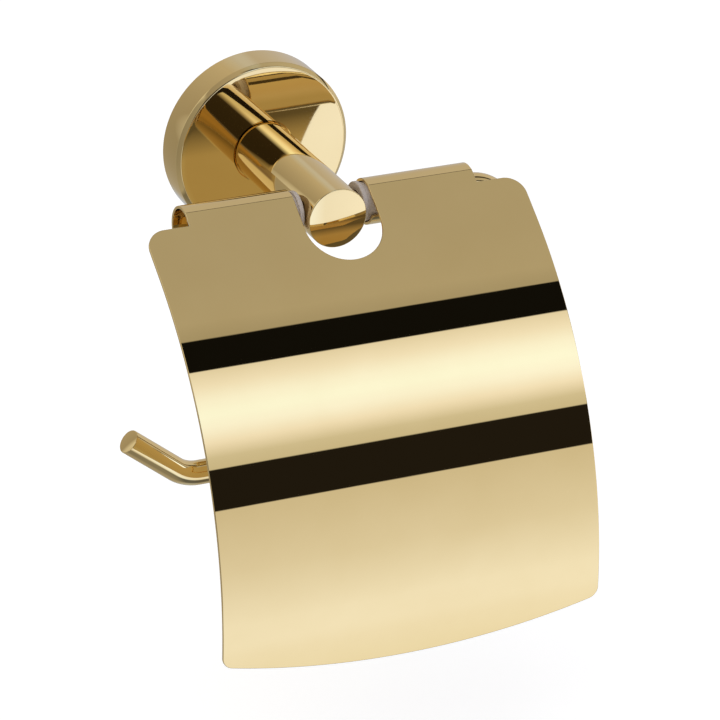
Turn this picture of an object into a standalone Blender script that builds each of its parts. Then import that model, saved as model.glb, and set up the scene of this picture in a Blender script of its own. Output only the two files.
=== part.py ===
"""Wall-mounted toilet paper holder with a hinged lid.

Frame: the origin is the centre of the wall bracket's back face, on the arm's axis.
+Y goes into the wall, -Y comes out of it, +X is to the right as one faces the wall, +Z is up.
Lengths are in metres and angles in degrees.
"""

from math import asin, atan2, ceil, cos, degrees, pi, radians, sin, sqrt, tan

import bmesh
import bpy
from mathutils import Matrix, Vector

# Driving dimensions -----------------------------------------------------------------------

GAP = 0.0003  # clearance between pieces that touch
OVERCUT = 0.001  # how far a cutter stands out of what it cuts
SMALL_CHAMFER = 0.0003

ROSETTE_DIAMETER = 0.055
ROSETTE_WALL = 0.003
ROSETTE_FACE = 0.004
ROSETTE_DOME = 0.0002  # how far the face rises towards its middle
ROSETTE_CHAMFER = 0.0012
SOCKET_DEPTH = 0.0012  # the arm's seat in the rosette's face

BRACKET_FLOOR = 0.002  # what is left behind the pocket for the arm screw's head
BRACKET_POCKET_PLAY = 0.0015  # round the arm screw's washer
BRACKET_FRONT_PLAY = 0.0018  # to the inside of the rosette's face
BRACKET_EDGE_PLAY = 0.0004
BRACKET_SLOT_WIDTH = 0.0048
BRACKET_SLOT_LENGTH = 0.0078
GROOVE_DEPTH = 0.0016  # of the V groove round the bracket's edge
GROOVE_HALF = 0.0022  # half its width at the edge

ARM_DIAMETER = 0.0181
ARM_REACH = 0.0634  # from the wall to the arm's front face
ARM_EDGE = 0.0003

ARM_SCREW_DIAMETER = 0.006
ARM_SCREW_LENGTH = 0.018
SCREW_HOLE_SPARE = 0.001  # how much deeper the arm's hole is than its screw
ARM_SCREW_HEAD_RATIO = 1.75  # the head's diameter by the shank's
ARM_SCREW_HEAD_HEIGHT = 0.0034
ARM_SCREW_HEAD_ROOM = 0.0006  # between the head and the pocket's floor
ARM_SCREW_SOCKET = 0.004  # across flats
ARM_SCREW_SOCKET_DEPTH = 0.0022
WASHER_RIM = 0.001  # how far the washer shows round the head
WASHER_THICKNESS = 0.0008
DOWEL_DIAMETER = 0.0025
DOWEL_COVER = 0.001  # rosette left over the dowel's end
DOWEL_IN_ARM = 0.0045

GRUB_DIAMETER = 0.004
GRUB_SUNK = 0.0004  # how far a set screw sits below the surface
GRUB_POINT = 0.0009  # length of its cone point
GRUB_POINT_R = 0.0009  # radius of the point's flat end
HEX_ACROSS_FLATS = 0.002
HEX_DEPTH = 0.0015

ROD_DIAMETER = 0.0073
ROD_SETBACK = 0.00843  # of the rod's axis from the arm's front face
ROD_STUB = 0.0018  # how far the rod's left end stands out of its sleeve
ROD_RUN_INSET = 0.0013  # of the vertical run's axis from the lid's right edge
ROD_DROP = 0.0786  # from the upper run's axis to the lower run's
ROD_CORNER_RADIUS = 0.012
ROD_END_EDGE = 0.0003
TIP_CORNER_INSET = 0.0172  # from the lid's left edge to where the lower run would meet the tip
TIP_LENGTH = 0.023
TIP_ANGLE = 38.0
TIP_BEND_RADIUS = 0.012

LID_WIDTH = 0.1186
LID_SHEET = 0.0009
LID_TAB = 0.0141  # the lid's top edge on either side of the curls
CURL_WRAP = 288.0
LID_CREASE = 24.0  # turn of the sharp crease where the flat meets the curl
LID_SLOPE = 54.2  # of the flat by the hinge, from vertical
LID_FLAT = 0.0171
LID_BEND_RADIUS = 0.1222  # outside
LID_LENGTH = 0.13955  # along the outside, from the curl to the middle of the bottom edge
LID_BOTTOM_SAG = 0.007
LID_SHOULDER = 0.00285  # from the curl to the top edge beside it
SHOULDER_RADIUS = 0.006
BOTTOM_CORNER_RADIUS = 0.0035
CURL_CORNER_RADIUS = 0.0008
NOTCH_SIDE_GAP = 0.0028  # between the notch's sides and the arm
NOTCH_DEPTH = 0.0215  # along the outside, from the curl

SLEEVE_WALL = 0.00169
SLEEVE_PLAY = 0.0003  # inside the curl
SLEEVE_FLANGE_RISE = 0.0006
SLEEVE_FLANGE_WIDTH = 0.0014
SLEEVE_INSET = 0.0072  # of the sleeve's end inside the curl's

# Derived sizes ----------------------------------------------------------------------------

SCREW_R = ARM_SCREW_DIAMETER / 2
SCREW_HEAD_R = ARM_SCREW_HEAD_RATIO * SCREW_R
SCREW_HEAD_Y = -(BRACKET_FLOOR + ARM_SCREW_HEAD_ROOM + ARM_SCREW_HEAD_HEIGHT)  # underside
SCREW_END_Y = SCREW_HEAD_Y - ARM_SCREW_LENGTH
WASHER_R = SCREW_HEAD_R + WASHER_RIM
ROSETTE_R = ROSETTE_DIAMETER / 2
ROSETTE_INSIDE_R = ROSETTE_R - ROSETTE_WALL
ROSETTE_INSIDE_Y = SCREW_HEAD_Y - WASHER_THICKNESS - 2 * GAP
ROSETTE_DEPTH = ROSETTE_FACE - ROSETTE_INSIDE_Y
SOCKET_Y = -(ROSETTE_DEPTH - SOCKET_DEPTH)
BRACKET_R = ROSETTE_INSIDE_R - BRACKET_EDGE_PLAY
BRACKET_FRONT_Y = ROSETTE_INSIDE_Y + BRACKET_FRONT_PLAY
BRACKET_POCKET_R = WASHER_R + BRACKET_POCKET_PLAY
GROOVE_Y = BRACKET_FRONT_Y / 2
GROOVE_R = BRACKET_R - GROOVE_DEPTH
ARM_R = ARM_DIAMETER / 2
ARM_BACK_Y = SOCKET_Y - GAP
ARM_FRONT_Y = -ARM_REACH
GRUB_R = GRUB_DIAMETER / 2
ROD_R = ROD_DIAMETER / 2
ROD_Y = ARM_FRONT_Y + ROD_SETBACK
DOWEL_R = DOWEL_DIAMETER / 2
DOWEL_Z = (SCREW_R + GAP + ARM_R) / 2
DOWEL_BACK_Y = ROSETTE_INSIDE_Y - DOWEL_COVER
DOWEL_FRONT_Y = SOCKET_Y - DOWEL_IN_ARM
SLEEVE_BORE_R = ROD_R + GAP
SLEEVE_R = SLEEVE_BORE_R + SLEEVE_WALL
SLEEVE_FLANGE_R = SLEEVE_R + SLEEVE_FLANGE_RISE
CURL_RADIUS = SLEEVE_R + SLEEVE_PLAY + LID_SHEET  # outside
NOTCH_R = ARM_R + NOTCH_SIDE_GAP
CURL_INNER_END = NOTCH_R  # this and the ends below are distances from the arm's axis
CURL_OUTER_END = LID_WIDTH / 2 - LID_TAB
SLEEVE_END = CURL_OUTER_END - SLEEVE_INSET
ROD_STUB_END = SLEEVE_END + ROD_STUB
ROD_RIGHT_RUN = LID_WIDTH / 2 - ROD_RUN_INSET
TIP_CORNER = LID_WIDTH / 2 - TIP_CORNER_INSET

# How finely the rounds are made, as sides or angles ----------------------------------------

LARGE_ROUND = 96
ROUND = 64
MEDIUM_ROUND = 48
SMALL_ROUND = 32
PIN_ROUND = 24
DOME_STEPS = 6
TIP_BEND_STEPS = 6
BOTTOM_EDGE_STEPS = 12
CURL_STEP = 9.0
ROD_STEP = 9
LID_STEP = 3.0
SMOOTH_BELOW = 32.0  # angle between faces up to which they are shaded as one surface


# Meshes -----------------------------------------------------------------------------------


def material(name, color, roughness, metallic):
    made = bpy.data.materials.new(name)
    made.use_nodes = True
    shader = made.node_tree.nodes["Principled BSDF"]
    shader.inputs["Base Color"].default_value = (*color, 1.0)
    shader.inputs["Roughness"].default_value = roughness
    shader.inputs["Metallic"].default_value = metallic
    return made


def object_from(name, bm, finish=None):
    """Make an object of a closed bmesh, with its faces pointing out and its rounds smooth."""
    bmesh.ops.recalc_face_normals(bm, faces=bm.faces)
    if bm.calc_volume(signed=True) < 0:
        bmesh.ops.reverse_faces(bm, faces=bm.faces)
    mesh = bpy.data.meshes.new(name)
    bm.to_mesh(mesh)
    bm.free()
    mesh.shade_smooth()
    mesh.set_sharp_from_angle(angle=radians(SMOOTH_BELOW))
    made = bpy.data.objects.new(name, mesh)
    bpy.context.scene.collection.objects.link(made)
    if finish:
        mesh.materials.append(finish)
    return made


def turned(profile, axis, sides=ROUND, phase=0.0):
    """Turn a closed outline of (radius, distance along the axis) round the X, Y or Z axis.

    A phase of 0.5 starts half a side further round, so that a cutter's corners don't fall
    on the corners of what it cuts.
    """
    bm = bmesh.new()
    across = {"X": ("Y", "Z"), "Y": ("Z", "X"), "Z": ("X", "Y")}[axis]
    unit = {"X": Vector((1, 0, 0)), "Y": Vector((0, 1, 0)), "Z": Vector((0, 0, 1))}
    rings = []
    for radius, along in profile:
        centre = unit[axis] * along
        if radius == 0:
            rings.append([bm.verts.new(centre)])
            continue
        ring = []
        for step in range(sides):
            turn = 2 * pi * (step + phase) / sides
            out = unit[across[0]] * cos(turn) + unit[across[1]] * sin(turn)
            ring.append(bm.verts.new(centre + out * radius))
        rings.append(ring)
    for first, second in zip(rings, rings[1:] + rings[:1]):
        join_rings(bm, first, second)
    return bm


def join_rings(bm, first, second):
    if len(first) == 1 and len(second) == 1:
        return
    count = max(len(first), len(second))
    for i in range(count):
        j = (i + 1) % count
        if len(first) == 1:
            bm.faces.new((first[0], second[i], second[j]))
        elif len(second) == 1:
            bm.faces.new((first[i], first[j], second[0]))
        else:
            bm.faces.new((first[i], first[j], second[j], second[i]))


def cylinder(radius, start, end, axis, sides=SMALL_ROUND):
    """A round cutter."""
    return turned([(0, start), (radius, start), (radius, end), (0, end)], axis, sides, 0.5)


def arc(centre, radius, start, end, step=10.0):
    """Points on an arc from one angle to another, both ends included."""
    count = max(2, ceil(abs(end - start) / step))
    points = []
    for i in range(count + 1):
        turn = radians(start + (end - start) * i / count)
        points.append((centre[0] + radius * cos(turn), centre[1] + radius * sin(turn)))
    return points


def cut(target, name, bm, location=(0, 0, 0)):
    """Take a shape out of an object with an exact Boolean."""
    cutter = object_from(name, bm)
    cutter.location = location
    cutter.hide_render = True
    cutter.display_type = "WIRE"
    boolean = target.modifiers.new(name, "BOOLEAN")
    boolean.operation = "DIFFERENCE"
    boolean.solver = "EXACT"
    boolean.object = cutter


def slot_shape(start, end):
    """A round-ended screw slot along X, cut from one Y to another."""
    radius = BRACKET_SLOT_WIDTH / 2
    half = BRACKET_SLOT_LENGTH / 2 - radius
    outline = arc((half, 0), radius, -90, 90, 15) + arc((-half, 0), radius, 90, 270, 15)
    bm = bmesh.new()
    rings = []
    for y in (start, end):
        rings.append([bm.verts.new((x, y, z)) for x, z in outline])
    join_rings(bm, *rings)
    bm.faces.new(rings[0])
    bm.faces.new(rings[1])
    return bm


def hexagon(across_flats, start, end):
    """A hexagonal prism along Z."""
    corner = across_flats / sqrt(3)
    return turned([(0, start), (corner, start), (corner, end), (0, end)], "Z", 6)


# Flange -----------------------------------------------------------------------------------


def make_wall_bracket(finish):
    """Plate on the wall: a groove round its edge, a pocket and two screw slots."""
    profile = [
        (0, 0),
        (BRACKET_R, 0),
        (BRACKET_R, GROOVE_Y + GROOVE_HALF),
        (GROOVE_R, GROOVE_Y),
        (BRACKET_R, GROOVE_Y - GROOVE_HALF),
        (BRACKET_R, BRACKET_FRONT_Y),
        (BRACKET_POCKET_R, BRACKET_FRONT_Y),
        (BRACKET_POCKET_R, -BRACKET_FLOOR),
        (0, -BRACKET_FLOOR),
    ]
    bracket = object_from("wall_bracket", turned(profile, "Y", ROUND, 0.5), finish)
    slot_x = (BRACKET_POCKET_R + GROOVE_R) / 2
    for side in (-1, 1):
        shape = slot_shape(OVERCUT, BRACKET_FRONT_Y - OVERCUT)
        cut(bracket, "slot_cutter", shape, (side * slot_x, 0, 0))
    return bracket


def dome_y(radius):
    """Y of the rosette's domed face at a distance from its axis."""
    rim = ROSETTE_R - ROSETTE_CHAMFER
    sphere = (rim**2 + ROSETTE_DOME**2) / (2 * ROSETTE_DOME)
    return -ROSETTE_DEPTH + sphere - sqrt(sphere**2 - radius**2)


def make_rosette(finish):
    """Deep cup with a domed face, a seat for the arm and holes for its fasteners."""
    seat_r = ARM_R + GAP
    hole_r = SCREW_R + GAP
    edge_r = ROSETTE_R - ROSETTE_CHAMFER
    dome = []
    for i in range(DOME_STEPS + 1):
        radius = edge_r + (seat_r - edge_r) * i / DOME_STEPS
        dome.append((radius, dome_y(radius)))
    profile = [
        (ROSETTE_INSIDE_R, 0),
        (ROSETTE_R, 0),
        (ROSETTE_R, dome_y(edge_r) + ROSETTE_CHAMFER),
        *dome,
        (seat_r, SOCKET_Y),
        (hole_r, SOCKET_Y),
        (hole_r, ROSETTE_INSIDE_Y),
        (ROSETTE_INSIDE_R, ROSETTE_INSIDE_Y),
    ]
    rosette = object_from("rosette", turned(profile, "Y", LARGE_ROUND), finish)
    dowel_hole = cylinder(DOWEL_R + GAP, SOCKET_Y - OVERCUT, DOWEL_BACK_Y + GAP, "Y")
    cut(rosette, "rosette_dowel_cutter", dowel_hole, (0, 0, DOWEL_Z))
    grub_hole = cylinder(GRUB_R + GAP, -ROSETTE_R - OVERCUT, -ROSETTE_INSIDE_R + OVERCUT, "Z")
    cut(rosette, "rosette_grub_cutter", grub_hole, (0, GROOVE_Y, 0))
    return rosette


def make_grub_screw(name, finish, length, base):
    """Socket set screw with a cone point up, its socket end at `base`."""
    profile = [
        (0, 0),
        (GRUB_R - SMALL_CHAMFER, 0),
        (GRUB_R, SMALL_CHAMFER),
        (GRUB_R, length - GRUB_POINT),
        (GRUB_POINT_R, length),
        (0, length),
    ]
    screw = object_from(name, turned(profile, "Z", SMALL_ROUND), finish)
    screw.location = base
    socket = hexagon(HEX_ACROSS_FLATS, -OVERCUT, HEX_DEPTH)
    cut(screw, name + "_socket_cutter", socket, base)
    return screw


def make_rosette_grub_screw(finish):
    start = -ROSETTE_R + GRUB_SUNK
    half_angle = atan2(GROOVE_HALF, GROOVE_DEPTH)
    seat = GRUB_POINT_R / tan(half_angle) + GAP / sin(half_angle)
    length = -GROOVE_R - seat - start
    return make_grub_screw("rosette_grub_screw", finish, length, (0, GROOVE_Y, start))


# Arm --------------------------------------------------------------------------------------


def make_arm(finish):
    """Round bar with a seat end, a cross hole for the rod and its fastener holes."""
    hole_r = SCREW_R + GAP
    hole_end = SCREW_END_Y - SCREW_HOLE_SPARE
    profile = [
        (hole_r, ARM_BACK_Y),
        (ARM_R, ARM_BACK_Y),
        *arc((ARM_R - ARM_EDGE, ARM_FRONT_Y + ARM_EDGE), ARM_EDGE, 0, -90, 30),
        (0, ARM_FRONT_Y),
        (0, hole_end),
        (hole_r, hole_end),
    ]
    arm = object_from("arm", turned(profile, "Y"), finish)
    dowel_hole = cylinder(DOWEL_R + GAP, ARM_BACK_Y + OVERCUT, DOWEL_FRONT_Y - GAP, "Y")
    cut(arm, "arm_dowel_cutter", dowel_hole, (0, 0, DOWEL_Z))
    rod_hole = cylinder(ROD_R + GAP, -ARM_R - OVERCUT, ARM_R + OVERCUT, "X", ROUND)
    cut(arm, "rod_hole_cutter", rod_hole, (0, ROD_Y, 0))
    grub_hole = cylinder(GRUB_R + GAP, -ARM_R - OVERCUT, -ROD_R / 2, "Z")
    cut(arm, "rod_grub_cutter", grub_hole, (0, ROD_Y, 0))
    return arm


def make_arm_screw(finish):
    """Socket cap screw from inside the rosette into the arm."""
    top = SCREW_HEAD_Y + ARM_SCREW_HEAD_HEIGHT
    profile = [
        (0, SCREW_END_Y),
        (SCREW_R - SMALL_CHAMFER, SCREW_END_Y),
        (SCREW_R, SCREW_END_Y + SMALL_CHAMFER),
        (SCREW_R, SCREW_HEAD_Y),
        (SCREW_HEAD_R, SCREW_HEAD_Y),
        (SCREW_HEAD_R, top - SMALL_CHAMFER),
        (SCREW_HEAD_R - SMALL_CHAMFER, top),
        (0, top),
    ]
    screw = object_from("arm_screw", turned(profile, "Y", MEDIUM_ROUND), finish)
    socket = hexagon(ARM_SCREW_SOCKET, -ARM_SCREW_SOCKET_DEPTH, OVERCUT)
    socket.transform(Matrix.Rotation(-pi / 2, 4, "X"))
    cut(screw, "arm_screw_socket_cutter", socket, (0, top, 0))
    return screw


def make_arm_washer(finish):
    bore_r = SCREW_R + GAP
    front = ROSETTE_INSIDE_Y + GAP
    back = front + WASHER_THICKNESS
    profile = [(bore_r, front), (WASHER_R, front), (WASHER_R, back), (bore_r, back)]
    return object_from("arm_washer", turned(profile, "Y", MEDIUM_ROUND), finish)


def make_dowel_pin(finish):
    profile = [
        (0, DOWEL_FRONT_Y),
        (DOWEL_R - SMALL_CHAMFER, DOWEL_FRONT_Y),
        (DOWEL_R, DOWEL_FRONT_Y + SMALL_CHAMFER),
        (DOWEL_R, DOWEL_BACK_Y - SMALL_CHAMFER),
        (DOWEL_R - SMALL_CHAMFER, DOWEL_BACK_Y),
        (0, DOWEL_BACK_Y),
    ]
    pin = object_from("arm_dowel_pin", turned(profile, "Y", PIN_ROUND), finish)
    pin.location = (0, 0, DOWEL_Z)
    return pin


def make_rod_grub_screw(finish):
    start = -ARM_R + GRUB_SUNK
    length = -ROD_R - GAP - start
    return make_grub_screw("rod_grub_screw", finish, length, (0, ROD_Y, start))


# Rod --------------------------------------------------------------------------------------


def rod_path():
    """Points (x, z) and headings along the rod's centre line, left end of the top run first."""
    corner = ROD_CORNER_RADIUS
    upper = (ROD_RIGHT_RUN - corner, -corner)
    lower = (ROD_RIGHT_RUN - corner, -(ROD_DROP - corner))
    tip_start = -TIP_CORNER + TIP_BEND_RADIUS * tan(radians(TIP_ANGLE / 2))
    tip_bend = (tip_start, -ROD_DROP + TIP_BEND_RADIUS)
    tip_turn = radians(TIP_ANGLE)
    tip_x = -TIP_CORNER - TIP_LENGTH * cos(tip_turn)
    tip_z = -ROD_DROP + TIP_LENGTH * sin(tip_turn)
    path = [((-ROD_STUB_END, 0), 0)]
    for turn in range(90, -1, -ROD_STEP):
        point = arc(upper, corner, turn, turn)[0]
        path.append((point, turn - 90))
    for turn in range(0, -91, -ROD_STEP):
        point = arc(lower, corner, turn, turn)[0]
        path.append((point, turn - 90))
    for i in range(TIP_BEND_STEPS + 1):
        turn = -90 - TIP_ANGLE * i / TIP_BEND_STEPS
        point = arc(tip_bend, TIP_BEND_RADIUS, turn, turn)[0]
        path.append((point, turn - 90))
    path.append(((tip_x, tip_z), -180 - TIP_ANGLE))
    return path


def make_roll_rod(finish):
    """Round rod bent to an open rectangle with an upturned tip."""
    bm = bmesh.new()
    path = rod_path()
    stations = []
    for i, ((x, z), heading) in enumerate(path):
        ahead = Vector((cos(radians(heading)), 0, sin(radians(heading))))
        centre = Vector((x, ROD_Y, z))
        if i == 0:
            stations.append((centre, ahead, ROD_R - ROD_END_EDGE))
            centre = centre + ahead * ROD_END_EDGE
        if i == len(path) - 1:
            stations.append((centre - ahead * ROD_END_EDGE, ahead, ROD_R))
            stations.append((centre, ahead, ROD_R - ROD_END_EDGE))
        else:
            stations.append((centre, ahead, ROD_R))
    rings = []
    for centre, ahead, radius in stations:
        side = ahead.cross(Vector((0, 1, 0)))
        ring = []
        for step in range(SMALL_ROUND):
            turn = 2 * pi * step / SMALL_ROUND
            out = Vector((0, 1, 0)) * cos(turn) + side * sin(turn)
            ring.append(bm.verts.new(centre + out * radius))
        rings.append(ring)
    for first, second in zip(rings, rings[1:]):
        join_rings(bm, first, second)
    bm.faces.new(rings[0])
    bm.faces.new(rings[-1])
    return object_from("roll_rod", bm, finish)


def make_sleeve(name, side, finish):
    """Flanged bush on the rod, its flange beside the arm and its body inside the lid's curl."""
    start = ARM_R + GAP
    flange_end = start + SLEEVE_FLANGE_WIDTH
    profile = [
        (SLEEVE_BORE_R, start),
        (SLEEVE_FLANGE_R - SMALL_CHAMFER, start),
        (SLEEVE_FLANGE_R, start + SMALL_CHAMFER),
        (SLEEVE_FLANGE_R, flange_end - SMALL_CHAMFER),
        (SLEEVE_FLANGE_R - SMALL_CHAMFER, flange_end),
        (SLEEVE_R, flange_end),
        (SLEEVE_R, SLEEVE_END - SMALL_CHAMFER),
        (SLEEVE_R - SMALL_CHAMFER, SLEEVE_END),
        (SLEEVE_BORE_R, SLEEVE_END),
    ]
    profile = [(radius, side * along) for radius, along in profile]
    sleeve = object_from(name, turned(profile, "X", MEDIUM_ROUND), finish)
    sleeve.location = (0, ROD_Y, 0)
    return sleeve


# Lid --------------------------------------------------------------------------------------


def curl_length():
    return radians(CURL_WRAP) * CURL_RADIUS


def bottom_edge():
    """Radius and centre distance of the arc along the lid's bottom edge."""
    half = LID_WIDTH / 2
    radius = (half**2 + LID_BOTTOM_SAG**2) / (2 * LID_BOTTOM_SAG)
    return radius, LID_LENGTH - radius


def bottom_corner_points():
    """The lid's right bottom corner, from the side to the bottom arc."""
    corner = BOTTOM_CORNER_RADIUS
    radius, centre = bottom_edge()
    x = LID_WIDTH / 2 - corner
    s = centre + sqrt((radius - corner) ** 2 - x**2)
    lean = degrees(asin(x / (radius - corner)))
    return arc((x, s), corner, 0, 90 - lean, 15)


def flat_outline():
    """The right half of the lid's flat pattern, (x, distance from the curl), top first."""
    half = LID_WIDTH / 2
    free = -curl_length()
    r = CURL_CORNER_RADIUS
    inner = CURL_INNER_END
    outer = CURL_OUTER_END
    notch_centre = NOTCH_DEPTH - NOTCH_R
    shoulder = SHOULDER_RADIUS
    points = arc((0, notch_centre), NOTCH_R, 90, 0, 7.5)
    points += arc((inner + r, free + r), r, 180, 270, 30)
    points += arc((outer - r, free + r), r, 270, 360, 30)
    points += [(outer, LID_SHOULDER)]
    points += arc((half - shoulder, LID_SHOULDER + shoulder), shoulder, -90, 0, 15)
    points += bottom_corner_points()
    radius, centre = bottom_edge()
    end_x = points[-1][0]
    for i in range(1, BOTTOM_EDGE_STEPS + 1):
        x = end_x * (1 - i / BOTTOM_EDGE_STEPS)
        points.append((x, centre + sqrt(radius**2 - x**2)))
    return points


def bend_stations():
    """Distances along the sheet where its bent shape turns."""
    crease = radians(LID_CREASE) * CURL_RADIUS
    stations = [0, -crease / 2, -crease, LID_FLAT]
    count = round((CURL_WRAP - LID_CREASE) / CURL_STEP)
    for i in range(1, count):
        turn = LID_CREASE + (CURL_WRAP - LID_CREASE) * i / count
        stations.append(-radians(turn) * CURL_RADIUS)
    along = LID_FLAT
    while along < LID_LENGTH:
        along += radians(LID_STEP) * LID_BEND_RADIUS
        stations.append(along)
    return stations


def bent(x, along, height):
    """A point of the flat sheet, `height` above its inside, after bending."""
    slope = radians(LID_SLOPE)
    normal = Vector((0, -cos(slope), sin(slope)))
    down = Vector((0, -sin(slope), -cos(slope)))
    hinge = Vector((x, ROD_Y, 0))
    outside = height - LID_SHEET
    if along <= 0:
        turn = -along / CURL_RADIUS
        out = normal * cos(turn) - down * sin(turn)
        crease = radians(LID_CREASE / 2)
        corner = 1 - min(1, abs(turn / crease - 1))  # 1 at the crease, 0 where the round starts
        radius = CURL_RADIUS + outside
        return hinge + out * radius * (1 + (1 / cos(crease) - 1) * corner)
    if along <= LID_FLAT:
        return hinge + normal * (CURL_RADIUS + outside) + down * along
    turn = (along - LID_FLAT) / LID_BEND_RADIUS
    centre = hinge + normal * (CURL_RADIUS - LID_BEND_RADIUS) + down * LID_FLAT
    out = normal * cos(turn) + down * sin(turn)
    return centre + out * (LID_BEND_RADIUS + outside)


def make_lid(finish):
    """One sheet: a flat pattern cut into bands at its bends, thickened, then bent."""
    right = flat_outline()
    left = [(-x, along) for x, along in reversed(right[1:-1])]
    bm = bmesh.new()
    corners = [bm.verts.new((x, along, 0)) for x, along in right + left]
    bm.faces.new(corners)
    for along in bend_stations():
        bmesh.ops.bisect_plane(
            bm,
            geom=bm.verts[:] + bm.edges[:] + bm.faces[:],
            dist=1e-7,
            plane_co=(0, along, 0),
            plane_no=(0, 1, 0),
        )
    bmesh.ops.triangulate(bm, faces=bm.faces)
    grown = bmesh.ops.extrude_face_region(bm, geom=bm.faces[:])
    for item in grown["geom"]:
        if isinstance(item, bmesh.types.BMVert):
            item.co.z = LID_SHEET
    for vert in bm.verts:
        vert.co = bent(*vert.co)
    lid = object_from("lid", bm, finish)
    hinge = Vector((0, ROD_Y, 0))
    lid.data.transform(Matrix.Translation(-hinge))
    lid.location = hinge
    return lid


def main():
    for old in list(bpy.data.objects):
        bpy.data.objects.remove(old, do_unlink=True)
    gold = (0.83, 0.62, 0.30)
    flange_gold = material("flange_gold", gold, 0.08, 1.0)
    arm_gold = material("arm_gold", gold, 0.07, 1.0)
    rod_gold = material("rod_gold", gold, 0.08, 1.0)
    lid_gold = material("lid_gold", gold, 0.06, 1.0)
    bush_plastic = material("bush_plastic", (0.24, 0.21, 0.19), 0.45, 0.0)
    bracket_steel = material("bracket_steel", (0.55, 0.56, 0.57), 0.35, 1.0)
    screw_steel = material("screw_steel", (0.5, 0.5, 0.5), 0.3, 1.0)
    make_wall_bracket(bracket_steel)
    make_rosette(flange_gold)
    make_rosette_grub_screw(screw_steel)
    make_arm(arm_gold)
    make_arm_screw(screw_steel)
    make_arm_washer(screw_steel)
    make_dowel_pin(screw_steel)
    make_rod_grub_screw(screw_steel)
    make_roll_rod(rod_gold)
    make_sleeve("left_sleeve", -1, bush_plastic)
    make_sleeve("right_sleeve", 1, bush_plastic)
    make_lid(lid_gold)


main()
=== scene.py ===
"""Toilet paper holder: visible model, materials, light and camera round the shared frame."""

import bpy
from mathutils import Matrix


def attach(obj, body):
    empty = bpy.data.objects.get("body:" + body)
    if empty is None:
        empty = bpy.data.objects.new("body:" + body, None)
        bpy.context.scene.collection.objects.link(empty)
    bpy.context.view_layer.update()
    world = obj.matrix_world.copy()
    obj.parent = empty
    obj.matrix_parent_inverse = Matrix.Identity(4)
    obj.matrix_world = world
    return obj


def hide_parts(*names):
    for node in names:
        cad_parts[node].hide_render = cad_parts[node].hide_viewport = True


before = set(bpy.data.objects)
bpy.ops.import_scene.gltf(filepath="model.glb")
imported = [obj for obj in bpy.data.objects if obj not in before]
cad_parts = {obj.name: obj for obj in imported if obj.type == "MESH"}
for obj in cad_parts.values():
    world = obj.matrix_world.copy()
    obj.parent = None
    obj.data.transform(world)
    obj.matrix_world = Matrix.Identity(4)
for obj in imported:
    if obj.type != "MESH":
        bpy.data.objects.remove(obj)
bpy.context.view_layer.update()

from math import asin, ceil, cos, degrees, pi, radians, sin, sqrt, tan

import bmesh
import bpy
from mathutils import Matrix, Vector

# Sizes, in metres, in the shared frame: wall at y = 0, arm along -Y, hinge along X ----------

ROSETTE_R = 0.0275
ROSETTE_INSIDE_R = 0.0245
ROSETTE_INSIDE_Y = -0.0074
ROSETTE_DEPTH = 0.0114
ROSETTE_DOME = 0.0002
ROSETTE_CHAMFER = 0.0012
ROSETTE_SOFT = 0.0003  # rounding where the chamfer meets the face
DOME_STEPS = 12
SEAT_Y = -0.0102
GAP = 0.0003
SCREW_R = 0.003
ARM_R = 0.00905
ARM_FRONT_Y = -0.0634
ARM_EDGE = 0.0003
ARM_OUTSIDE = 0.012  # a distance from its axis that is well outside it
ARM_HOLE_END_Y = -0.031
GRUB_R = 0.002
GROOVE_Y = -0.0028
ROD_R = 0.00365
ROD_Y = -0.05497
ROD_END_EDGE = 0.0003
ROD_END_STEPS = 4
ROD_STUB_END = 0.0398
ROD_RIGHT_RUN = 0.058
ROD_DROP = 0.0786
ROD_CORNER = 0.012
TIP_CORNER = 0.0421
TIP_LENGTH = 0.0229
TIP_ANGLE = 38.0
TIP_BEND = 0.012
TIP_STEPS = 14
ROD_TURN_STEP = 3  # degrees
SLEEVE_BORE_R = 0.00395
SLEEVE_R = 0.00564
SLEEVE_FLANGE_R = 0.00624
SLEEVE_FLANGE_END = 0.01075
SLEEVE_END = 0.038
CHAMFER = 0.0003
LID_WIDTH = 0.1186
SHEET = 0.0009
SHEET_EDGE = 0.0002
CURL_RADIUS = 0.00684
CURL_WRAP = 288.0
CURL_INNER_END = 0.01185
CURL_OUTER_END = 0.0452
CURL_CORNER = 0.0008
LID_SLOPE = 54.2
LID_CREASE = 24.0
CREASE_R = 0.0008
LID_FLAT = 0.01709
LID_BEND = 0.1222
LID_BEND_STEP = 1.0  # degrees
LID_LENGTH = 0.1395
LID_SAG = 0.007
LID_SHOULDER = 0.00285
SHOULDER_R = 0.006
CORNER_R = 0.0035
NOTCH_R = 0.01185
NOTCH_DEPTH = 0.0215
EDGE_STEPS = 3  # round the sheet's edge, on each side
BOTTOM_STEPS = 40
CURL_STEPS = 89
CREASE_STEPS = 12

# Sides of the round bodies
ROSETTE_SIDES = 256
ARM_SIDES = 192
SLEEVE_SIDES = 128
ROD_SIDES = 96
HOLE_SIDES = 64

# Camera ------------------------------------------------------------------------------------

camera = bpy.data.objects.new("camera", bpy.data.cameras.new("camera"))
bpy.context.scene.collection.objects.link(camera)
camera.data.sensor_width = 36.0
camera.data.lens = 230.79
camera.data.clip_start = 0.05
camera.data.clip_end = 50.0
right = Vector((0.9043, -0.4251, 0.0384)).normalized()
back = Vector((-0.3982, -0.8079, 0.4344)).normalized()
up = back.cross(right).normalized()
camera.matrix_world = Matrix(
    (
        (right.x, up.x, back.x, -0.52555),
        (right.y, up.y, back.y, -1.14775),
        (right.z, up.z, back.z, 0.53661),
        (0.0, 0.0, 0.0, 1.0),
    )
)
bpy.context.scene.camera = camera
bpy.context.scene.view_settings.view_transform = "Standard"

# Studio ------------------------------------------------------------------------------------

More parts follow.
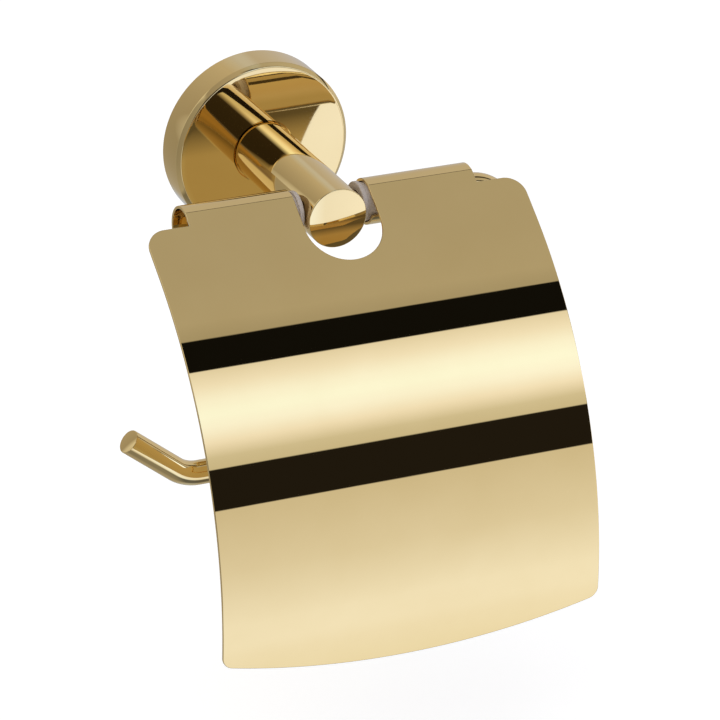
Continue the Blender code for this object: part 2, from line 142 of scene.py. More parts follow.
FLOOR_Z = -0.16
FLOOR_SIZE = 6.0  # half its width
AIM = Vector((0, -0.07, -0.05))  # where the lamps point
WORLD_GAIN = 2.0  # the ramps hold light divided by this

# Angle up from straight ahead of the wall (degrees) and the light seen there: on the right, on
# the left and at the far left
SKY_RIGHT = [
    (-180, (0.52, 0.52, 0.57)),
    (-140, (0.45, 0.45, 0.45)),
    (-95, (0.45, 0.45, 0.45)),
    (-78, (0.12, 0.12, 0.12)),
    (-52, (0.12, 0.12, 0.12)),
    (-44, (0.90, 0.96, 1.10)),
    (-30, (0.95, 1.03, 1.30)),
    (-26, (0.98, 1.08, 1.42)),
    (-20, (0.97, 1.07, 1.41)),
    (-12, (0.88, 0.95, 1.19)),
    (-4, (0.79, 0.83, 0.97)),
    (13, (0.68, 0.69, 0.74)),
    (25, (0.64, 0.66, 0.69)),
    (28, (0.68, 0.71, 0.77)),
    (32, (0.96, 1.03, 1.33)),
    (36, (1.06, 1.25, 1.80)),
    (40, (1.08, 1.34, 1.93)),
    (44, (1.05, 1.24, 1.76)),
    (48, (0.96, 1.05, 1.37)),
    (52, (0.84, 0.89, 1.08)),
    (55, (0.80, 0.84, 1.00)),
    (58, (0.41, 0.40, 0.38)),
    (61, (0.41, 0.40, 0.38)),
    (66, (0.465, 0.455, 0.44)),
    (89, (0.44, 0.43, 0.42)),
    (108, (0.55, 0.54, 0.54)),
    (146, (0.53, 0.51, 0.52)),
    (180, (0.52, 0.52, 0.57)),
]
# Dark strips in the right sky: from and to (degrees up), and the light left in them
DARK_STRIPS = (
    (13.6, 25.0, (0.015, 0.013, 0.012)),
    (52.2, 61.05, (0.006, 0.006, 0.006)),
    (89.0, 108.0, (0.06, 0.055, 0.05)),
)
STRIP_EDGE = 0.15
SKY_LEFT = [
    (-180, (0.62, 0.58, 0.50)),
    (-140, (0.50, 0.47, 0.41)),
    (-95, (0.48, 0.47, 0.46)),
    (-78, (0.32, 0.32, 0.32)),
    (-52, (0.32, 0.32, 0.32)),
    (-40, (1.10, 1.15, 1.35)),
    (-16, (1.15, 1.25, 1.55)),
    (-12, (0.40, 0.36, 0.40)),
    (4, (0.36, 0.34, 0.40)),
    (8, (0.05, 0.045, 0.04)),
    (39, (0.04, 0.035, 0.03)),
    (45, (0.55, 0.52, 0.48)),
    (120, (0.62, 0.58, 0.52)),
    (150, (0.66, 0.61, 0.53)),
    (180, (0.63, 0.58, 0.50)),
]
SKY_FAR_LEFT = [
    (-180, (1.0, 1.0, 1.0)),
    (-110, (0.8, 0.8, 0.8)),
    (-50, (0.68, 0.66, 0.62)),
    (45, (0.68, 0.66, 0.62)),
    (60, (1.5, 1.5, 1.5)),
    (100, (1.9, 1.9, 1.9)),
    (150, (1.3, 1.3, 1.3)),
    (180, (1.0, 1.0, 1.0)),
]

# Sideways directions between which one sky gives way to the next
SIDE_EDGE = (-0.02, 0.16)
FAR_LEFT_EDGE = (-0.62, -0.56)

# Sideways direction, and how bright the whole sky is there
SIDE_LIGHT = [
    (-1.0, (0.40, 0.40, 0.40)),
    (0.0, (0.84, 0.84, 0.84)),
    (0.12, (1.02, 1.07, 1.15)),
    (0.2, (1.10, 1.20, 1.38)),
    (0.27, (1.09, 1.18, 1.34)),
    (0.345, (1.0, 1.0, 1.0)),
    (0.44, (1.03, 1.03, 1.03)),
    (1.0, (1.20, 1.20, 1.20)),
]


def light_ramp(tree, value, stops, low, high):
    """Color ramp over a range of values; its stops hold light divided by the world's gain."""
    ramp = tree.nodes.new("ShaderNodeValToRGB")
    elements = ramp.color_ramp.elements
    for index, (at, light) in enumerate(stops):
        place = (at - low) / (high - low)
        if index < 2:
            stop = elements[index]
            stop.position = place
        else:
            stop = elements.new(place)
        stop.color = (*[amount / WORLD_GAIN for amount in light], 1.0)
    tree.links.new(map_range(tree, value, (low, high), (0.0, 1.0)), ramp.inputs["Fac"])
    return ramp.outputs["Color"]


def mixed(tree, factor, first, second, blend="MIX"):
    mix = tree.nodes.new("ShaderNodeMix")
    mix.data_type = "RGBA"
    mix.blend_type = blend
    if isinstance(factor, float):
        mix.inputs["Factor"].default_value = factor
    else:
        tree.links.new(factor, mix.inputs["Factor"])
    tree.links.new(first, mix.inputs["A"])
    tree.links.new(second, mix.inputs["B"])
    return mix.outputs["Result"]


def map_range(tree, value, source, target):
    scale = tree.nodes.new("ShaderNodeMapRange")
    for label, amount in zip(("From Min", "From Max"), source):
        scale.inputs[label].default_value = amount
    for label, amount in zip(("To Min", "To Max"), target):
        scale.inputs[label].default_value = amount
    tree.links.new(value, scale.inputs["Value"])
    return scale.outputs["Result"]


def strip_mask(tree, angle, low, high):
    rise = map_range(tree, angle, (low - STRIP_EDGE, low + STRIP_EDGE), (0.0, 1.0))
    fall = map_range(tree, angle, (high - STRIP_EDGE, high + STRIP_EDGE), (1.0, 0.0))
    both = tree.nodes.new("ShaderNodeMath")
    both.operation = "MULTIPLY"
    tree.links.new(rise, both.inputs[0])
    tree.links.new(fall, both.inputs[1])
    return both.outputs[0]


def plain_color(tree, light):
    color = tree.nodes.new("ShaderNodeRGB")
    color.outputs[0].default_value = (*[amount / WORLD_GAIN for amount in light], 1.0)
    return color.outputs[0]


def make_world():
    """Studio seen in reflections only: strips of light and dark. The camera sees plain white."""
    world = bpy.data.worlds.new("studio")
    bpy.context.scene.world = world
    world.use_nodes = True
    tree = world.node_tree
    tree.nodes.clear()
    join = tree.links.new
    where = tree.nodes.new("ShaderNodeTexCoord")
    parts = tree.nodes.new("ShaderNodeSeparateXYZ")
    join(where.outputs["Generated"], parts.inputs[0])
    ahead = tree.nodes.new("ShaderNodeMath")
    ahead.operation = "MULTIPLY"
    ahead.inputs[1].default_value = -1.0
    join(parts.outputs["Y"], ahead.inputs[0])
    turn = tree.nodes.new("ShaderNodeMath")
    turn.operation = "ARCTAN2"
    join(parts.outputs["Z"], turn.inputs[0])
    join(ahead.outputs[0], turn.inputs[1])
    angle = map_range(tree, turn.outputs[0], (-pi, pi), (-180.0, 180.0))
    across = parts.outputs["X"]
    bands = []
    for stops in (SKY_FAR_LEFT, SKY_LEFT, SKY_RIGHT):
        bands.append(light_ramp(tree, angle, stops, -180.0, 180.0))
    for start, end, light in DARK_STRIPS:
        mask = strip_mask(tree, angle, start, end)
        bands[2] = mixed(tree, mask, bands[2], plain_color(tree, light))
    sky = mixed(tree, map_range(tree, across, FAR_LEFT_EDGE, (0.0, 1.0)), bands[0], bands[1])
    sky = mixed(tree, map_range(tree, across, SIDE_EDGE, (0.0, 1.0)), sky, bands[2])
    sky = mixed(tree, 1.0, sky, light_ramp(tree, across, SIDE_LIGHT, -1.0, 1.0), "MULTIPLY")
    seen = tree.nodes.new("ShaderNodeBackground")
    seen.inputs["Strength"].default_value = WORLD_GAIN**2
    join(sky, seen.inputs["Color"])
    plain = tree.nodes.new("ShaderNodeBackground")
    plain.inputs["Color"].default_value = (1.0, 1.0, 1.0, 1.0)
    path = tree.nodes.new("ShaderNodeLightPath")
    choice = tree.nodes.new("ShaderNodeMixShader")
    out = tree.nodes.new("ShaderNodeOutputWorld")
    join(path.outputs["Is Camera Ray"], choice.inputs[0])
    join(seen.outputs[0], choice.inputs[1])
    join(plain.outputs[0], choice.inputs[2])
    join(choice.outputs[0], out.inputs["Surface"])


def make_floor():
    bm = bmesh.new()
    bmesh.ops.create_grid(bm, x_segments=1, y_segments=1, size=FLOOR_SIZE)
    mesh = bpy.data.meshes.new("floor")
    bm.to_mesh(mesh)
    bm.free()
    floor = bpy.data.objects.new("floor", mesh)
    floor.location = (0, 0, FLOOR_Z)
    bpy.context.scene.collection.objects.link(floor)
    finish = bpy.data.materials.new("floor_paper")
    finish.use_nodes = True
    shader = finish.node_tree.nodes["Principled BSDF"]
    shader.inputs["Base Color"].default_value = (0.5, 0.5, 0.5, 1.0)
    shader.inputs["Roughness"].default_value = 0.9
    shader.inputs["Emission Color"].default_value = (1.0, 1.0, 1.0, 1.0)
    shader.inputs["Emission Strength"].default_value = 0.72
    mesh.materials.append(finish)
    floor.visible_glossy = False


def make_lights():
    for name, place, size, power in (
        ("soft_top", (-0.5, -0.7, 1.6), 1.4, 9.0),
        ("soft_left", (-1.4, -0.9, 0.6), 1.0, 4.0),
    ):
        lamp = bpy.data.lights.new(name, "AREA")
        lamp.size = size
        lamp.energy = power
        light = bpy.data.objects.new(name, lamp)
        light.location = place
        light.rotation_euler = (AIM - Vector(place)).to_track_quat("-Z", "Y").to_euler()
        light.visible_glossy = False
        bpy.context.scene.collection.objects.link(light)


# Materials ---------------------------------------------------------------------------------

NOISE_RANGE = (0.3, 0.7)  # where most of a noise texture's values lie


def blank_material(name):
    made = bpy.data.materials.new(name)
    made.use_nodes = True
    return made, made.node_tree, made.node_tree.nodes["Principled BSDF"]


def noise(tree, scale, detail, stretch=(1, 1, 1)):
    """3-D noise on the object's own coordinates, in metres."""
    where = tree.nodes.new("ShaderNodeTexCoord")
    mapping = tree.nodes.new("ShaderNodeMapping")
    mapping.inputs["Scale"].default_value = stretch
    grain = tree.nodes.new("ShaderNodeTexNoise")
    grain.inputs["Scale"].default_value = scale
    grain.inputs["Detail"].default_value = detail
    tree.links.new(where.outputs["Object"], mapping.inputs["Vector"])
    tree.links.new(mapping.outputs["Vector"], grain.inputs["Vector"])
    return grain.outputs["Fac"]


def spread(tree, value, low, high):
    return map_range(tree, value, NOISE_RANGE, (low, high))


def blend_colors(tree, value, first, second):
    ramp = tree.nodes.new("ShaderNodeValToRGB")
    for stop, place, color in zip(ramp.color_ramp.elements, NOISE_RANGE, (first, second)):
        stop.position = place
        stop.color = (*color, 1)
    tree.links.new(value, ramp.inputs["Fac"])
    return ramp.outputs["Color"]


def add_bump(tree, shader, value, distance):
    bump = tree.nodes.new("ShaderNodeBump")
    bump.inputs["Strength"].default_value = 1.0
    bump.inputs["Distance"].default_value = distance
    tree.links.new(value, bump.inputs["Height"])
    tree.links.new(bump.outputs["Normal"], shader.inputs["Normal"])


def polished_gold(name, rough_low, rough_high, streak):
    """Mirror-polished gold plate: faint polishing lines, hazy patches, slight tone shifts."""
    made, tree, shader = blank_material(name)
    shader.inputs["Metallic"].default_value = 1.0
    tone = noise(tree, 60.0, 3.0)
    color = blend_colors(tree, tone, (0.885, 0.672, 0.312), (0.905, 0.692, 0.328))
    tree.links.new(color, shader.inputs["Base Color"])
    haze = noise(tree, 35.0, 4.0)
    tree.links.new(spread(tree, haze, rough_low, rough_high), shader.inputs["Roughness"])
    lines = noise(tree, 900.0, 2.0, streak)
    add_bump(tree, shader, lines, 0.0000004)
    return made


def moulded_plastic(name):
    made, tree, shader = blank_material(name)
    tone = noise(tree, 250.0, 4.0)
    color = blend_colors(tree, tone, (0.50, 0.43, 0.37), (0.57, 0.49, 0.42))
    tree.links.new(color, shader.inputs["Base Color"])
    tree.links.new(spread(tree, tone, 0.38, 0.5), shader.inputs["Roughness"])
    add_bump(tree, shader, noise(tree, 2500.0, 2.0), 0.00001)
    return made


def plated_steel(name, dark, light, rough_low, rough_high):
    """Zinc-plated steel: fine grain and cloudy patches."""
    made, tree, shader = blank_material(name)
    shader.inputs["Metallic"].default_value = 1.0
    cloud = noise(tree, 120.0, 5.0)
    color = blend_colors(tree, cloud, dark, light)
    tree.links.new(color, shader.inputs["Base Color"])
    tree.links.new(spread(tree, cloud, rough_low, rough_high), shader.inputs["Roughness"])
    add_bump(tree, shader, noise(tree, 1800.0, 3.0), 0.000006)
    return made


# Mesh tools --------------------------------------------------------------------------------

ON_AXIS = 1e-6  # metres from the axis below which a point has no outward direction
FLAT_END = 1e-3  # sideways part of a normal below which its face is a flat end
SQUARE_ON = 0.98  # cosine above which a face looks straight away from the axis
SMOOTH_BELOW = 24.0  # degrees between faces that are shaded as one
FLAT_FACE = 0.999  # upward part of a normal above which a face of the flat sheet is level


def arc(centre, radius, start, end, step=5.0):
    """Points on an arc from one angle to another, both ends included."""
    count = max(2, ceil(abs(end - start) / step))
    points = []
    for i in range(count + 1):
        turn = radians(start + (end - start) * i / count)
        points.append((centre[0] + radius * cos(turn), centre[1] + radius * sin(turn)))
    return points


def eased(corner, reach, before, after, steps=5):
    """A profile corner rounded between points `reach` before and after it."""
    corner = Vector(corner)
    start = corner + Vector(before).normalized() * reach
    end = corner + Vector(after).normalized() * reach
    points = []
    for i in range(steps + 1):
        t = i / steps
        point = start * (1 - t) ** 2 + corner * (2 * t * (1 - t)) + end * t**2
        points.append(tuple(point))
    return points


def join_rings(bm, first, second):
    if len(first) == 1 and len(second) == 1:
        return
    count = max(len(first), len(second))
    for i in range(count):
        j = (i + 1) % count
        if len(first) == 1:
            bm.faces.new((first[0], second[i], second[j]))
        elif len(second) == 1:
            bm.faces.new((first[i], first[j], second[0]))
        else:
            bm.faces.new((first[i], first[j], second[j], second[i]))


def turned(profile, axis, sides, phase=0.0):
    """Turn a closed outline of (radius, distance along the axis) round an axis."""
    bm = bmesh.new()
    across = {"X": ("Y", "Z"), "Y": ("Z", "X"), "Z": ("X", "Y")}[axis]
    unit = {"X": Vector((1, 0, 0)), "Y": Vector((0, 1, 0)), "Z": Vector((0, 0, 1))}
    rings = []
    for radius, along in profile:
        centre = unit[axis] * along
        if radius == 0:
            rings.append([bm.verts.new(centre)])
            continue
        ring = []
        for step in range(sides):
            turn = 2 * pi * (step + phase) / sides
            out = unit[across[0]] * cos(turn) + unit[across[1]] * sin(turn)
            ring.append(bm.verts.new(centre + out * radius))
        rings.append(ring)
    for first, second in zip(rings, rings[1:] + rings[:1]):
        join_rings(bm, first, second)
    return bm


def link(name, mesh, finish):
    made = bpy.data.objects.new(name, mesh)
    bpy.context.scene.collection.objects.link(made)
    if finish:
        mesh.materials.append(finish)
    return made


def object_from(name, bm, finish=None):
    bmesh.ops.recalc_face_normals(bm, faces=bm.faces)
    if bm.calc_volume(signed=True) < 0:
        bmesh.ops.reverse_faces(bm, faces=bm.faces)
    mesh = bpy.data.meshes.new(name)
    bm.to_mesh(mesh)
    bm.free()
    return link(name, mesh, finish)


def drill(target, radius, start, end, axis, location, sides=HOLE_SIDES):
    """Cut a round hole with an exact Boolean and apply it."""
    profile = [(0, start), (radius, start), (radius, end), (0, end)]
    cutter = object_from("cutter", turned(profile, axis, sides, 0.5))
    cutter.location = location
    boolean = target.modifiers.new("hole", "BOOLEAN")
    boolean.operation = "DIFFERENCE"
    boolean.solver = "EXACT"
    boolean.object = cutter
    bpy.context.view_layer.update()
    graph = bpy.context.evaluated_depsgraph_get()
    mesh = bpy.data.meshes.new_from_object(target.evaluated_get(graph))
    target.modifiers.clear()
    old = target.data
    target.data = mesh
    bpy.data.meshes.remove(old)
    used = cutter.data
    bpy.data.objects.remove(cutter)
    bpy.data.meshes.remove(used)


def round_normals(mesh, axis):
    """Normals of a turned body's true round sides and flat ends, one for each face corner."""
    index = "XYZ".index(axis)
    line = Vector((0, 0, 0))
    line[index] = 1
    normals = []
    for face in mesh.polygons:
        for loop in face.loop_indices:
            out = mesh.vertices[mesh.loops[loop].vertex_index].co.copy()
            out[index] = 0
            side = Vector(face.normal)
            side[index] = 0
            if out.length < ON_AXIS or side.length < FLAT_END:
                normals.append(face.normal.copy())
                continue
            out.normalize()
            if abs(side.normalized().dot(out)) < SQUARE_ON:
                normals.append(face.normal.copy())
                continue
            if side.dot(out) < 0:
                out = -out
            normals.append((out * side.length + line * face.normal[index]).normalized())
    return normals


def smooth_turned(made, axis):
    """Round normals about the axis, averaged along the profile where it bends gently."""
    mesh = made.data
    mesh.shade_smooth()
    face_normals = round_normals(mesh, axis)
    groups = {}
    for face in mesh.polygons:
        for loop in face.loop_indices:
            vertex = mesh.loops[loop].vertex_index
            groups.setdefault(vertex, []).append(loop)
    limit = cos(radians(SMOOTH_BELOW))
    result = [None] * len(mesh.loops)
    for loops in groups.values():
        for loop in loops:
            own = face_normals[loop]
            total = Vector((0, 0, 0))
            for other in loops:
                if face_normals[other].dot(own) > limit:
                    total += face_normals[other]
            result[loop] = total.normalized()
    mesh.normals_split_custom_set(result)


def ride(made, body, slot, *nodes):
    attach(made, body)
    if nodes:
        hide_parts(*nodes)


# Flange and arm ----------------------------------------------------------------------------


def dome_y(radius):
    rim = ROSETTE_R - ROSETTE_CHAMFER
    sphere = (rim**2 + ROSETTE_DOME**2) / (2 * ROSETTE_DOME)
    return -ROSETTE_DEPTH + sphere - sqrt(sphere**2 - radius**2)


def make_rosette(finish):
    """Hollow cup with a chamfered edge, a slightly domed face and a hole for its set screw."""
    seat_r = ARM_R + GAP
    edge_r = ROSETTE_R - ROSETTE_CHAMFER
    edge_y = dome_y(edge_r)
    dome = []
    for i in range(1, DOME_STEPS + 1):
        start = edge_r - ROSETTE_SOFT
        radius = start + (seat_r + CHAMFER - start) * i / DOME_STEPS
        dome.append((radius, dome_y(radius)))
    profile = [
        (ROSETTE_INSIDE_R, 0),
        (ROSETTE_R - CHAMFER, 0),
        (ROSETTE_R, -CHAMFER),
        *eased((ROSETTE_R, edge_y + ROSETTE_CHAMFER), ROSETTE_SOFT / 3, (0, 1), (-1, -1)),
        *eased((edge_r, edge_y), ROSETTE_SOFT, (1, 1), (-1, 0)),
        *dome,
        (seat_r, dome_y(seat_r) + CHAMFER),
        (seat_r, SEAT_Y),
        (SCREW_R + GAP, SEAT_Y),
        (SCREW_R + GAP, ROSETTE_INSIDE_Y),
        (ROSETTE_INSIDE_R, ROSETTE_INSIDE_Y),
    ]
    made = object_from("rosette_plate", turned(profile, "Y", ROSETTE_SIDES), finish)
    drill(made, GRUB_R + GAP, -0.03, -0.023, "Z", (0, GROOVE_Y, 0))
    smooth_turned(made, "Y")
    ride(made, "holder", "flange_gold", "rosette")


def make_arm(finish):
    """Round bar, tapped at the back for its screw and drilled for the rod and its set screw."""
    profile = [
        (SCREW_R + GAP, SEAT_Y - GAP),
        (ARM_R, SEAT_Y - GAP),
        *arc((ARM_R - ARM_EDGE, ARM_FRONT_Y + ARM_EDGE), ARM_EDGE, 0, -90, 15),
        (0, ARM_FRONT_Y),
        (0, ARM_HOLE_END_Y),
        (SCREW_R + GAP, ARM_HOLE_END_Y),
    ]
    made = object_from("arm_bar", turned(profile, "Y", ARM_SIDES), finish)
    drill(made, ROD_R + GAP, -ARM_OUTSIDE, ARM_OUTSIDE, "X", (0, ROD_Y, 0), ROD_SIDES)
    drill(made, GRUB_R + GAP, -ARM_OUTSIDE, -0.002, "Z", (0, ROD_Y, 0))
    smooth_turned(made, "Y")
    ride(made, "holder", "arm_gold", "arm")


# Rod and sleeves ---------------------------------------------------------------------------


def rod_path():
    """Points (x, z) and headings along the rod's centre line, upper left end first."""
    corner = ROD_CORNER
    tip = radians(TIP_ANGLE)
    upper = (ROD_RIGHT_RUN - corner, -corner)
    lower = (ROD_RIGHT_RUN - corner, -(ROD_DROP - corner))
    tip_start = -TIP_CORNER + TIP_BEND * tan(tip / 2)
    tip_bend = (tip_start, -ROD_DROP + TIP_BEND)
    end = (-TIP_CORNER - TIP_LENGTH * cos(tip), -ROD_DROP + TIP_LENGTH * sin(tip))
    path = [((-ROD_STUB_END, 0), 0)]
    for turn in range(90, -1, -ROD_TURN_STEP):
        path.append((arc(upper, corner, turn, turn)[0], turn - 90))
    for turn in range(0, -91, -ROD_TURN_STEP):
        path.append((arc(lower, corner, turn, turn)[0], turn - 90))
    for i in range(TIP_STEPS + 1):
        turn = -90 - TIP_ANGLE * i / TIP_STEPS
        path.append((arc(tip_bend, TIP_BEND, turn, turn)[0], turn - 90))
    path.append((end, -180 - TIP_ANGLE))
    return path


def make_rod(finish):
    """Round bar swept along its bent path, with its two ends rounded."""
    path = rod_path()
    stations = []
    for i, ((x, z), heading) in enumerate(path):
        ahead = Vector((cos(radians(heading)), 0, sin(radians(heading))))
        centre = Vector((x, ROD_Y, z))
        if 0 < i < len(path) - 1:
            stations.append((centre, ahead, ROD_R))
            continue
        inward_way = ahead if i == 0 else -ahead
        end = []
        for step in range(ROD_END_STEPS + 1):
            turn = pi / 2 * step / ROD_END_STEPS
            at = centre + inward_way * (ROD_END_EDGE * (1 - sin(turn)))
            end.append((at, ahead, ROD_R - ROD_END_EDGE * (1 - cos(turn))))
        if i == 0:
            end.reverse()
        stations += end
    bm = bmesh.new()
    rings = []
    for centre, ahead, radius in stations:
        side = ahead.cross(Vector((0, 1, 0)))
        ring = []
        for step in range(ROD_SIDES):
            turn = 2 * pi * step / ROD_SIDES
            out = Vector((0, 1, 0)) * cos(turn) + side * sin(turn)
            ring.append(bm.verts.new(centre + out * radius))
        rings.append(ring)
    for first, second in zip(rings, rings[1:]):
        join_rings(bm, first, second)
    bm.faces.new(rings[0])
    bm.faces.new(rings[-1])
    made = object_from("rod_bar", bm, finish)
    made.data.shade_smooth()
    made.data.set_sharp_from_angle(angle=radians(15))
    ride(made, "holder", "rod_gold", "roll_rod")


def make_sleeve(side, finish):
    """Flanged bush on the rod, from beside the arm to inside the lid's curl."""
    profile = [
        (SLEEVE_BORE_R, ARM_R + GAP),
        *arc((SLEEVE_FLANGE_R - CHAMFER, ARM_R + GAP + CHAMFER), CHAMFER, -90, 0, 22.5),
        *arc((SLEEVE_FLANGE_R - CHAMFER, SLEEVE_FLANGE_END - CHAMFER), CHAMFER, 0, 90, 22.5),
        (SLEEVE_R, SLEEVE_FLANGE_END),
        *arc((SLEEVE_R - CHAMFER, SLEEVE_END - CHAMFER), CHAMFER, 0, 90, 22.5),
        (SLEEVE_BORE_R, SLEEVE_END),
    ]
    bm = bmesh.new()
    rings = []
    for radius, along in profile:
        ring = []
        for step in range(SLEEVE_SIDES):
            turn = 2 * pi * step / SLEEVE_SIDES
            y = radius * cos(turn)
            z = radius * sin(turn)
            ring.append(bm.verts.new((side * along, ROD_Y + y, z)))
        rings.append(ring)
    for first, second in zip(rings, rings[1:] + rings[:1]):
        join_rings(bm, first, second)
    label = "left" if side < 0 else "right"
    made = object_from(label + "_bush", bm, finish)
    made.data.shade_smooth()
    made.data.set_sharp_from_angle(angle=radians(30))
    ride(made, "holder", "bush_plastic", label + "_sleeve")


# Lid ---------------------------------------------------------------------------------------


def lid_outline():
    """The lid's flat pattern, (x, distance from the curl), all the way round."""
    half = LID_WIDTH / 2
    free = -radians(CURL_WRAP) * CURL_RADIUS
    r = CURL_CORNER
    inner = CURL_INNER_END
    outer = CURL_OUTER_END
    points = arc((0, NOTCH_DEPTH - NOTCH_R), NOTCH_R, 90, 0, 2.5)
    points += arc((inner + r, free + r), r, 180, 270, 15)
    points += arc((outer - r, free + r), r, 270, 360, 15)
    points += [(outer, LID_SHOULDER)]
    points += arc((half - SHOULDER_R, LID_SHOULDER + SHOULDER_R), SHOULDER_R, -90, 0, 5)
    radius = (half**2 + LID_SAG**2) / (2 * LID_SAG)
    centre = LID_LENGTH - radius
    x = half - CORNER_R
    along = centre + sqrt((radius - CORNER_R) ** 2 - x**2)
    lean = degrees(asin(x / (radius - CORNER_R)))
    points += arc((x, along), CORNER_R, 0, 90 - lean, 6)
    end_x = points[-1][0]
    for i in range(1, BOTTOM_STEPS + 1):
        x = end_x * (1 - i / BOTTOM_STEPS)
        points.append((x, centre + sqrt(radius**2 - x**2)))
    return points + [(-x, along) for x, along in reversed(points[1:-1])]


def inward(points):
    """Mitred inward direction at each corner of an outline."""
    count = len(points)
    area = 0
    for i in range(count):
        (x0, y0), (x1, y1) = points[i], points[(i + 1) % count]
        area += x0 * y1 - x1 * y0
    sign = 1 if area > 0 else -1
    result = []
    for i in range(count):
        before = Vector(points[i]) - Vector(points[i - 1])
        after = Vector(points[(i + 1) % count]) - Vector(points[i])
        first = Vector((-before.y, before.x)).normalized() * sign
        second = Vector((-after.y, after.x)).normalized() * sign
        middle = (first + second).normalized()
        result.append(middle / max(middle.dot(first), 0.5))
    return result


def lid_frame(along):
    """Centre of bend, outward normal and direction down the sheet, at a distance along it."""
    slope = radians(LID_SLOPE)
    normal = Vector((0, -cos(slope), sin(slope)))
    down = Vector((0, -sin(slope), -cos(slope)))
    hinge = Vector((0, ROD_Y, 0))
    crease = radians(LID_CREASE) * CURL_RADIUS
    if along <= -crease:
        turn = -along / CURL_RADIUS
        out = normal * cos(turn) - down * sin(turn)
        return hinge + out * CURL_RADIUS, out, down * cos(turn) + normal * sin(turn)
    if along <= 0:
        # Two straight runs that meet in a tight bend
        reach = CURL_RADIUS * tan(radians(LID_CREASE / 2))
        half = crease / 2
        bend = CREASE_R * tan(radians(LID_CREASE / 2)) / reach
        share = max(-1.0, min(1.0, (-along / half - 1) / bend))
        turn = radians(LID_CREASE / 2) * (1 + share)
        out = normal * cos(turn) - down * sin(turn)
        corner = hinge + normal * CURL_RADIUS - down * reach
        far = down * cos(radians(LID_CREASE)) + normal * sin(radians(LID_CREASE))
        run = -along / half - 1
        if run <= -bend:
            return corner + down * (-run * reach), out, down
        if run >= bend:
            return corner - far * (run * reach), out, far
        start = corner + down * (bend * reach)
        end = corner - far * (bend * reach)
        t = (share + 1) / 2
        place = start * (1 - t) ** 2 + corner * (2 * t * (1 - t)) + end * t**2
        return place, out, down * cos(turn) + normal * sin(turn)
    if along <= LID_FLAT:
        return hinge + normal * CURL_RADIUS + down * along, normal, down
    turn = (along - LID_FLAT) / LID_BEND
    centre = hinge + normal * (CURL_RADIUS - LID_BEND) + down * LID_FLAT
    out = normal * cos(turn) + down * sin(turn)
    return centre + out * LID_BEND, out, down * cos(turn) - normal * sin(turn)


def bend_stations():
    crease = radians(LID_CREASE) * CURL_RADIUS
    bend = CREASE_R / CURL_RADIUS
    stations = [0, -crease, LID_FLAT / 2, LID_FLAT]
    for i in range(CREASE_STEPS + 1):
        stations.append(-crease / 2 * (1 + bend * (2 * i / CREASE_STEPS - 1)))
    for i in range(1, CURL_STEPS):
        turn = radians((CURL_WRAP - LID_CREASE) * i / CURL_STEPS)
        stations.append(-crease - turn * CURL_RADIUS)
    along = LID_FLAT
    while along < LID_LENGTH:
        along += radians(LID_BEND_STEP) * LID_BEND
        stations.append(along)
    return stations


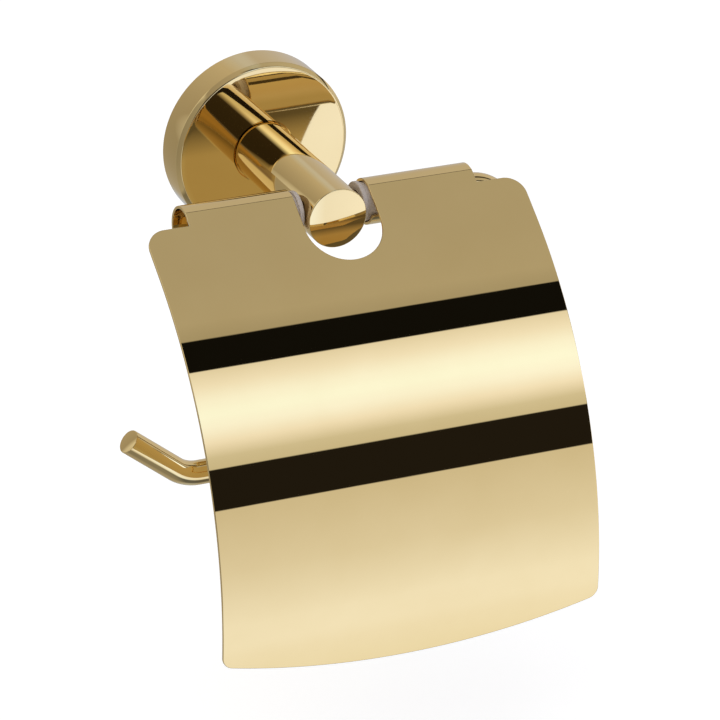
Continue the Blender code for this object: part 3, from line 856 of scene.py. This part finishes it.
def make_lid(finish):
    """One thin sheet with rounded edges, cut flat, sliced at its bends, then bent."""
    outline = lid_outline()
    inset = inward(outline)
    levels = [(1.0, SHEET)]
    for i in range(1, EDGE_STEPS + 1):
        turn = pi / 2 * i / EDGE_STEPS
        levels.append((1 - sin(turn), SHEET - SHEET_EDGE * (1 - cos(turn))))
    levels += [(share, SHEET - height) for share, height in reversed(levels)]
    bm = bmesh.new()
    rings = []
    for share, height in levels:
        ring = []
        for (x, along), into in zip(outline, inset):
            move = SHEET_EDGE * share
            ring.append(bm.verts.new((x + into.x * move, along + into.y * move, height)))
        rings.append(ring)
    for first, second in zip(rings, rings[1:]):
        join_rings(bm, first, second)
    bm.faces.new(rings[0])
    bm.faces.new(rings[-1])
    bmesh.ops.recalc_face_normals(bm, faces=bm.faces)
    for along in bend_stations():
        bmesh.ops.bisect_plane(
            bm,
            geom=bm.verts[:] + bm.edges[:] + bm.faces[:],
            dist=1e-8,
            plane_co=(0, along, 0),
            plane_no=(0, 1, 0),
        )
    bmesh.ops.triangulate(bm, faces=[face for face in bm.faces if len(face.verts) > 4])
    bm.verts.ensure_lookup_table()
    bm.normal_update()
    flat = [vert.co.copy() for vert in bm.verts]
    edge = []
    for vert in bm.verts:
        total = Vector((0, 0, 0))
        for face in vert.link_faces:
            if abs(face.normal.z) < FLAT_FACE:
                side = Vector((face.normal.x, face.normal.y, 0))
                total += side.normalized() * face.calc_area()
        edge.append(total.normalized() if total.length > 0 else total)
    bmesh.ops.reverse_faces(bm, faces=bm.faces)  # bending mirrors the flat pattern
    mesh = bpy.data.meshes.new("lid_sheet")
    bm.to_mesh(mesh)
    bm.free()
    normals = [None] * len(mesh.loops)
    for face in mesh.polygons:
        is_flat = abs(face.normal.z) > FLAT_FACE
        sign = -1 if face.normal.z > 0 else 1
        for loop in face.loop_indices:
            vertex = mesh.loops[loop].vertex_index
            point = flat[vertex]
            out, down = lid_frame(point.y)[1:]
            if is_flat:
                normals[loop] = out * sign
                continue
            if point.z > SHEET - SHEET_EDGE:
                rise = (point.z - SHEET + SHEET_EDGE) / SHEET_EDGE
            elif point.z < SHEET_EDGE:
                rise = (point.z - SHEET_EDGE) / SHEET_EDGE
            else:
                rise = 0.0
            rise = max(-1.0, min(1.0, rise))
            side = edge[vertex] * sqrt(1 - rise**2)
            normals[loop] = (Vector((side.x, 0, 0)) + down * side.y + out * rise).normalized()
    for vertex, point in zip(mesh.vertices, flat):
        place, out = lid_frame(point.y)[:2]
        vertex.co = place + Vector((point.x, 0, 0)) + out * (point.z - SHEET)
    mesh.shade_smooth()
    mesh.normals_split_custom_set(normals)
    made = link("lid_sheet", mesh, finish)
    ride(made, "lid", "lid_gold", "lid")


# Assembly ----------------------------------------------------------------------------------

make_world()
make_floor()
make_lights()
flange_gold = polished_gold("flange_gold", 0.02, 0.035, (1, 1, 1))
arm_gold = polished_gold("arm_gold", 0.015, 0.03, (1, 0.05, 1))
rod_gold = polished_gold("rod_gold", 0.03, 0.05, (1, 1, 1))
lid_gold = polished_gold("lid_gold", 0.008, 0.014, (0.05, 1, 1))
bush = moulded_plastic("bush_plastic")
bracket_steel = plated_steel("bracket_steel", (0.5, 0.51, 0.52), (0.6, 0.6, 0.59), 0.3, 0.45)
screw_steel = plated_steel("screw_steel", (0.32, 0.32, 0.33), (0.45, 0.45, 0.45), 0.25, 0.4)
make_rosette(flange_gold)
make_arm(arm_gold)
make_rod(rod_gold)
make_sleeve(-1, bush)
make_sleeve(1, bush)
make_lid(lid_gold)
for name, finish in (
    ("wall_bracket", bracket_steel),
    ("rosette_grub_screw", screw_steel),
    ("arm_screw", screw_steel),
    ("arm_washer", screw_steel),
    ("arm_dowel_pin", screw_steel),
    ("rod_grub_screw", screw_steel),
):
    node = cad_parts[name]
    node.data.materials.clear()
    node.data.materials.append(finish)
